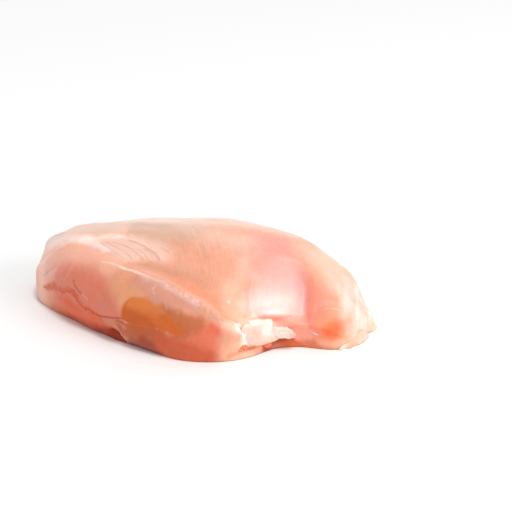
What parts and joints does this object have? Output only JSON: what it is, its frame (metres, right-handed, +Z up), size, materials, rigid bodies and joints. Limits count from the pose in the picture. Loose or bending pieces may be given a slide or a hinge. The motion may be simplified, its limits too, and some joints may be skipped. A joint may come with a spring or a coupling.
{
  "type": "raw chicken breast",
  "caption": "Raw boneless, skinless chicken breast: a plump domed muscle with a pale keel ridge, a notched front end with a fat tab, a rounded lobe and a thin tail.",
  "frame": {"origin": "middle of the underside of the box round the meat, on the surface it lies on", "axes": "+X along the length toward the thick front end with the notch, -Y toward the keel side, +Z up from the surface it lies on"},
  "size_m": [0.1448, 0.1072, 0.0358],
  "materials": {
    "raw_meat": "wet raw poultry meat, pale peach pink with pale membrane and an amber fat patch"
  },
  "bodies": {
    "root": {"breast": "raw_meat"}
  },
  "joints": []
}
